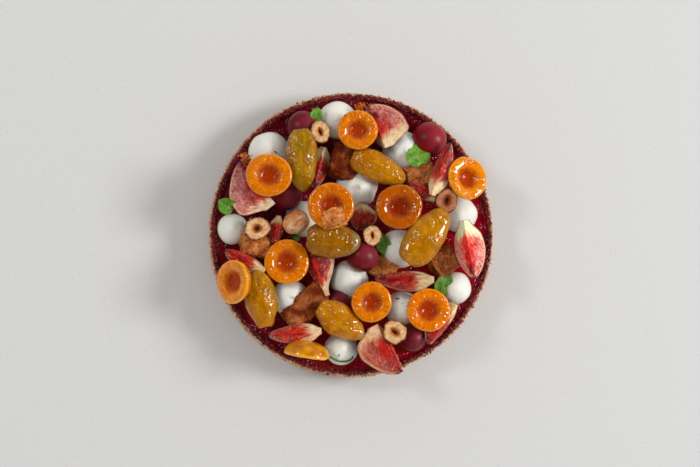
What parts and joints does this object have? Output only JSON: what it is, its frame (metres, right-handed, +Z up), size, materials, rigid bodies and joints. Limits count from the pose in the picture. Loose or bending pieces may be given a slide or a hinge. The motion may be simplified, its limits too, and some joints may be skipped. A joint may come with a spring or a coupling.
{
  "type": "fruit tart",
  "caption": "Round fruit tart: a straight-sided crumb crust filled with dark red jelly and covered with golden plums, fig wedges, red grapes, hazelnut halves, sponge and cream kisses.",
  "frame": {"origin": "centre of the crust's flat underside", "axes": "+Z up through the tart, out of its flat underside; +X and +Y lie in the underside, +Y away from a viewer who looks down with +X to the right"},
  "size_m": [0.16, 0.16, 0.0498],
  "materials": {
    "crust": "coarse baked crumb, matte, with a thin dark red glaze on the rim",
    "jelly": "glossy dark red jelly",
    "cream": "smooth satin whipped cream",
    "sponge": "open brown crumb, moist in places",
    "grape": "smooth skin with a hazy bloom",
    "fig": "wet red pulp with seeds, cream rind and thin purple skin",
    "plum_flesh": "wet fibrous orange flesh",
    "plum_skin": "glazed golden skin",
    "hazelnut": "dry cut nut with a brown skin edge"
  },
  "bodies": {
    "root": {"crust": "crust", "jelly": "jelly", "cream_1": "cream", "cream_2": "cream", "cream_3": "cream", "cream_4": "cream", "cream_5": "cream", "cream_6": "cream", "cream_7": "cream", "cream_8": "cream", "cream_9": "cream", "cream_10": "cream", "cream_11": "cream", "cream_12": "cream", "sponge_1": "sponge", "sponge_2": "sponge", "sponge_3": "sponge", "sponge_4": "sponge", "sponge_5": "sponge", "sponge_6": "sponge", "grape_1": "grape", "grape_2": "grape", "grape_3": "grape", "grape_4": "grape", "grape_5": "grape", "grape_6": "grape", "fig_1": "fig", "fig_2": "fig", "fig_3": "fig", "fig_4": "fig", "fig_5": "fig", "fig_6": "fig", "fig_7": "fig", "fig_8": "fig", "fig_9": "fig", "fig_10": "fig", "fig_11": "fig", "fig_12": "fig", "plum_back_1": "plum_skin", "plum_back_2": "plum_skin", "plum_back_3": "plum_skin", "plum_back_4": "plum_skin", "plum_back_5": "plum_skin", "plum_back_6": "plum_skin", "plum_cup_1": "plum_flesh", "plum_cup_2": "plum_flesh", "plum_cup_3": "plum_flesh", "plum_cup_4": "plum_flesh", "plum_cup_5": "plum_flesh", "plum_cup_6": "plum_flesh", "plum_cup_7": "plum_flesh", "plum_cup_8": "plum_flesh", "plum_cup_9": "plum_flesh", "plum_cup_10": "plum_flesh", "hazelnut_1": "hazelnut", "hazelnut_2": "hazelnut", "hazelnut_3": "hazelnut", "hazelnut_4": "hazelnut", "hazelnut_5": "hazelnut", "hazelnut_6": "hazelnut"}
  },
  "joints": []
}
